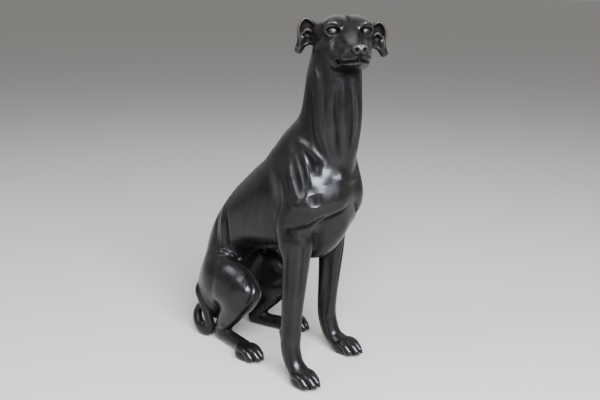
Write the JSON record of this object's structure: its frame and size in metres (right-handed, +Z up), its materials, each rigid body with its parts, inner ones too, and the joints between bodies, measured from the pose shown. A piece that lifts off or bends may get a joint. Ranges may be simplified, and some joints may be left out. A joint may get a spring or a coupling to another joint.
{
  "type": "dog sculpture",
  "caption": "Seated greyhound figure with its head turned to its right and a curled tail, a floor-standing ornament that rests on its feet.",
  "frame": {"origin": "middle of the figure's bounding box, on the ground it stands on", "axes": "+Z up; the dog's chest faces -Y and its right side is -X, the side it looks to"},
  "size_m": [0.207, 0.4096, 0.6078],
  "materials": {
    "bronze_effect_resin": "cast resin, black-brown bronze effect, semi-gloss wax, rubbed lighter on the toes, brows and ear rims"
  },
  "bodies": {
    "root": {"dog_figure": "bronze_effect_resin"}
  },
  "joints": []
}
